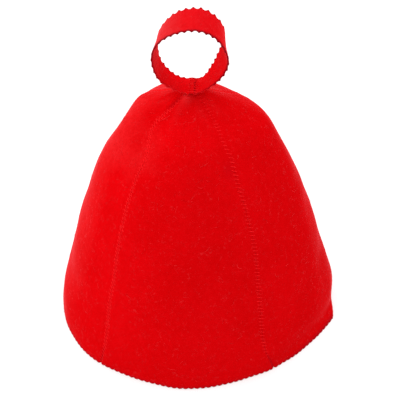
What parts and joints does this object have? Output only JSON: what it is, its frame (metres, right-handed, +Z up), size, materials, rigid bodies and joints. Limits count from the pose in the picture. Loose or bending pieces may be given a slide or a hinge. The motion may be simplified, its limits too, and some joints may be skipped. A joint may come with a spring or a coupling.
{
  "type": "sauna hat",
  "caption": "Bell-shaped felt hat of sewn gores with a pinked rim, open below for the head, and a felt hanging loop on its crown.",
  "frame": {"origin": "middle of the hat's box, on the surface that the rim rests on", "axes": "+Z up through the crown and the hanging loop, -Y to the front gore, +X to the right gore"},
  "size_m": [0.258, 0.2284, 0.3081],
  "materials": {
    "red_felt": "matte felt"
  },
  "bodies": {
    "root": {"front_gore": "red_felt", "right_gore": "red_felt", "back_gore": "red_felt", "left_gore": "red_felt", "hanging_loop": "red_felt"}
  },
  "joints": []
}
